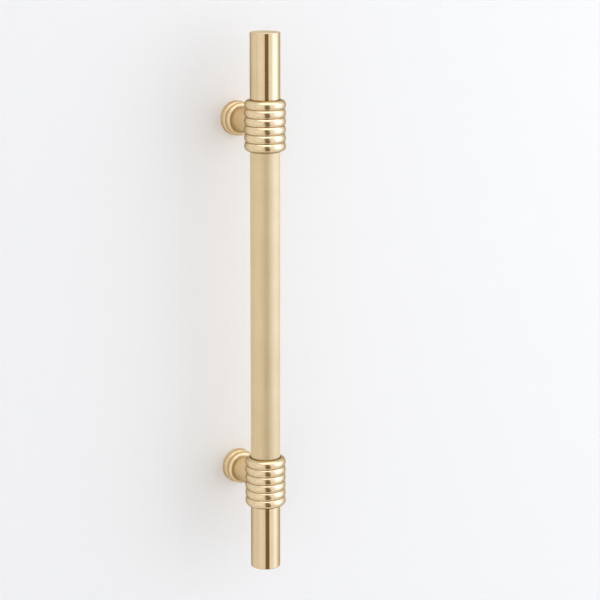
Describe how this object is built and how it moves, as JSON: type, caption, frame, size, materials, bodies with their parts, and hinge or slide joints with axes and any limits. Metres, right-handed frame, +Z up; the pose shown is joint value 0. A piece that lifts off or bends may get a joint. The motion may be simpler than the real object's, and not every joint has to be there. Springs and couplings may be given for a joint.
{
  "type": "door pull",
  "caption": "Straight round brass door pull: a satin grip bar with polished ends in beaded collars, carried off the door by turned posts that bolt on from behind.",
  "frame": {"origin": "on the door's face, halfway between the two fixing holes", "axes": "+Z up the door along the bar, +Y into the door, the pull stands out towards -Y"},
  "size_m": [0.0344, 0.0687, 0.4572],
  "materials": {
    "satin_brass": "satin, brushed along the bar",
    "polished_brass": "turned and polished",
    "stud_steel": "plain zinc-plated"
  },
  "bodies": {
    "root": {"grip_bar": "satin_brass", "upper_end_bar": "polished_brass", "lower_end_bar": "polished_brass", "upper_collar": "polished_brass", "lower_collar": "polished_brass", "upper_post": "polished_brass", "lower_post": "polished_brass", "upper_end_stud": "stud_steel", "lower_end_stud": "stud_steel", "upper_post_stud": "stud_steel", "lower_post_stud": "stud_steel"}
  },
  "joints": []
}
